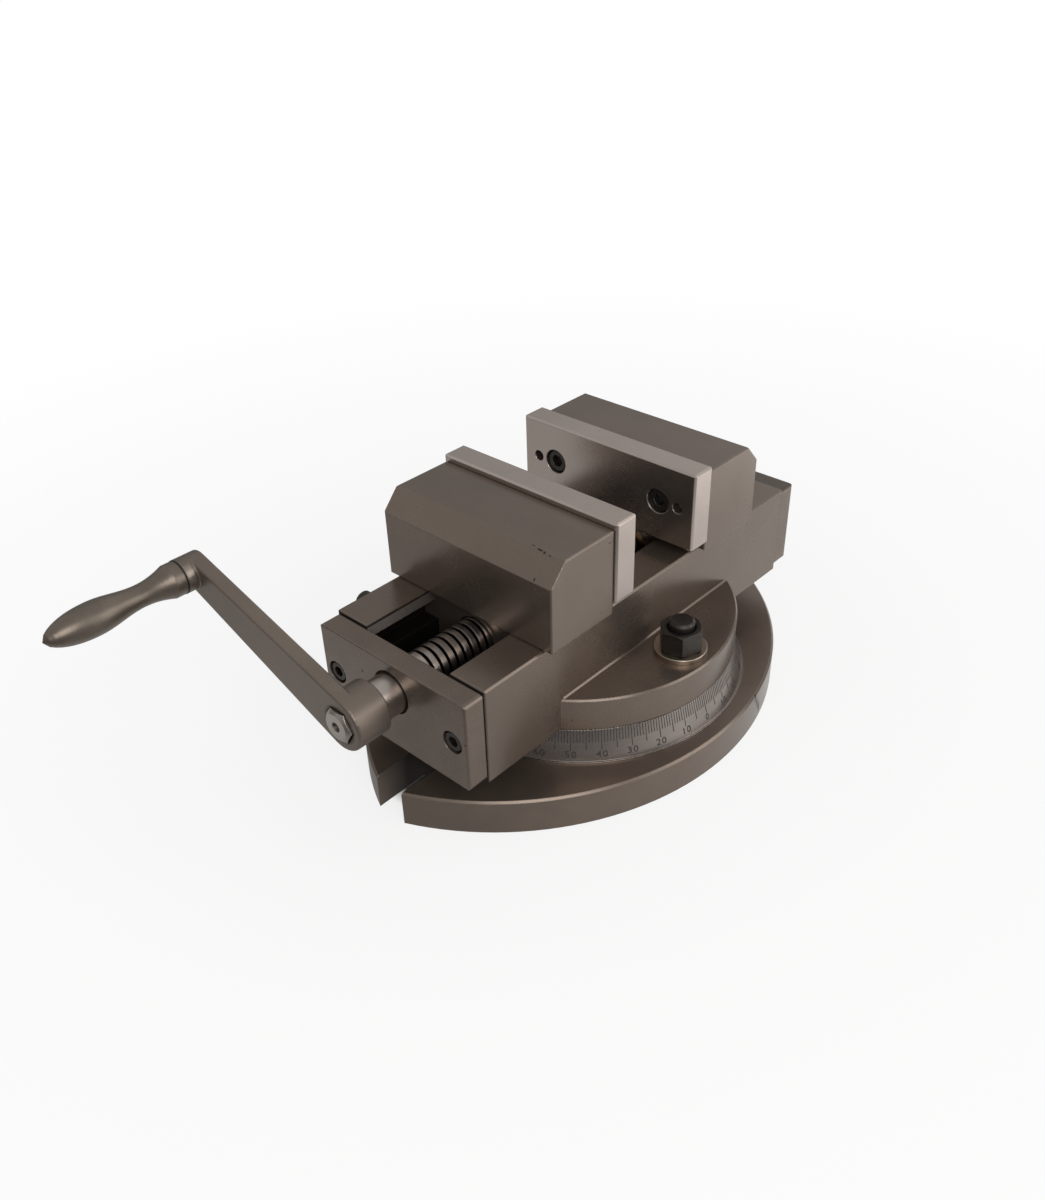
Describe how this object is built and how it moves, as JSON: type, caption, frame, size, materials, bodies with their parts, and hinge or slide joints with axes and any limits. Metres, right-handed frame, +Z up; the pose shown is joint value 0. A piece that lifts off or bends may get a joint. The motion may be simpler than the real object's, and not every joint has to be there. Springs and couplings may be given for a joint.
{
  "type": "self-centering vise",
  "caption": "Self-centering machine vise with two jaws on a left- and right-hand screw, a crank and a swivel base with a degree scale.",
  "frame": {"origin": "where the swivel axis meets the base's underside", "axes": "+Z up along the swivel axis, +Y from the crank's end to the rear along the screw, +X to the right seen from the crank"},
  "size_m": [0.1927, 0.3421, 0.126],
  "materials": {
    "body_steel": "finely ground, satin grey-brown",
    "base_steel": "turned and ground, satin grey-brown",
    "jaw_plate_steel": "hardened and ground, bright satin",
    "screw_steel": "turned, bright",
    "collar_steel": "turned, bright satin, with an engraved degree scale",
    "pin_steel": "turned",
    "black_steel": "black oxide, oiled",
    "washer_steel": "pale yellow zinc plating",
    "crank_steel": "satin grey-brown",
    "bronze": "machined bronze"
  },
  "bodies": {
    "base": {"swivel_base": "base_steel", "degree_collar": "collar_steel", "pivot_pin": "pin_steel"},
    "bed": {"vise_body": "body_steel", "front_end_plate": "body_steel", "rear_end_plate": "body_steel", "front_plate_screws": "black_steel", "rear_plate_screws": "black_steel", "side_screw": "black_steel", "front_bushing": "bronze", "rear_bushing": "bronze", "bearing_saddle": "body_steel", "bearing_cap": "body_steel", "bearing_screws": "black_steel", "thrust_washers": "bronze", "swivel_bolts": "black_steel", "swivel_washers": "washer_steel"},
    "screw": {"lead_screw": "screw_steel"},
    "crank": {"crank_arm": "crank_steel", "grip_spindle": "pin_steel", "grip_ring": "pin_steel"},
    "crank_grip": {"grip": "crank_steel"},
    "front_jaw_slide_body": {"front_jaw": "body_steel", "front_jaw_plate": "jaw_plate_steel", "front_jaw_screws": "black_steel", "front_jaw_nut": "bronze", "front_nut_key": "pin_steel"},
    "rear_jaw_slide_body": {"rear_jaw": "body_steel", "rear_jaw_plate": "jaw_plate_steel", "rear_jaw_screws": "black_steel", "rear_jaw_nut": "bronze", "rear_nut_key": "pin_steel"},
    "right_nut": {"swivel_nut_right": "black_steel"},
    "left_nut": {"swivel_nut_left": "black_steel"}
  },
  "joints": [
    {"name": "swivel", "type": "hinge", "parent": "base", "child": "bed", "pos_m": [0, 0, 0.0331], "axis": [0, 0, 1], "continuous": true},
    {"name": "screw_turn", "type": "hinge", "parent": "bed", "child": "screw", "pos_m": [0, 0, 0.0649], "axis": [0, 1, 0], "range_deg": [-2442, 1711]},
    {"name": "front_jaw_slide", "type": "slide", "parent": "bed", "child": "front_jaw_slide_body", "axis": [0, 1, 0], "range_m": [-0.02985, 0.02092]},
    {"name": "rear_jaw_slide", "type": "slide", "parent": "bed", "child": "rear_jaw_slide_body", "axis": [0, -1, 0], "range_m": [-0.02985, 0.02092]},
    {"name": "crank_pull", "type": "slide", "parent": "screw", "child": "crank", "axis": [0, -1, 0], "range_m": [0, 0.017]},
    {"name": "grip_spin", "type": "hinge", "parent": "crank", "child": "crank_grip", "pos_m": [-0.09515, -0.18, 0.09878], "axis": [0, 1, 0], "continuous": true},
    {"name": "right_nut_turn", "type": "hinge", "parent": "bed", "child": "right_nut", "pos_m": [0.062, 0, 0.0575], "axis": [0, 0, 1], "range_deg": [0, 90]},
    {"name": "left_nut_turn", "type": "hinge", "parent": "bed", "child": "left_nut", "pos_m": [-0.062, 0, 0.0575], "axis": [0, 0, 1], "range_deg": [0, 90]}
  ],
  "couplings": [
    {"joint": "front_jaw_slide", "follows": "screw_turn", "m_per_rad": 0.00070028},
    {"joint": "rear_jaw_slide", "follows": "screw_turn", "m_per_rad": 0.00070028}
  ]
}
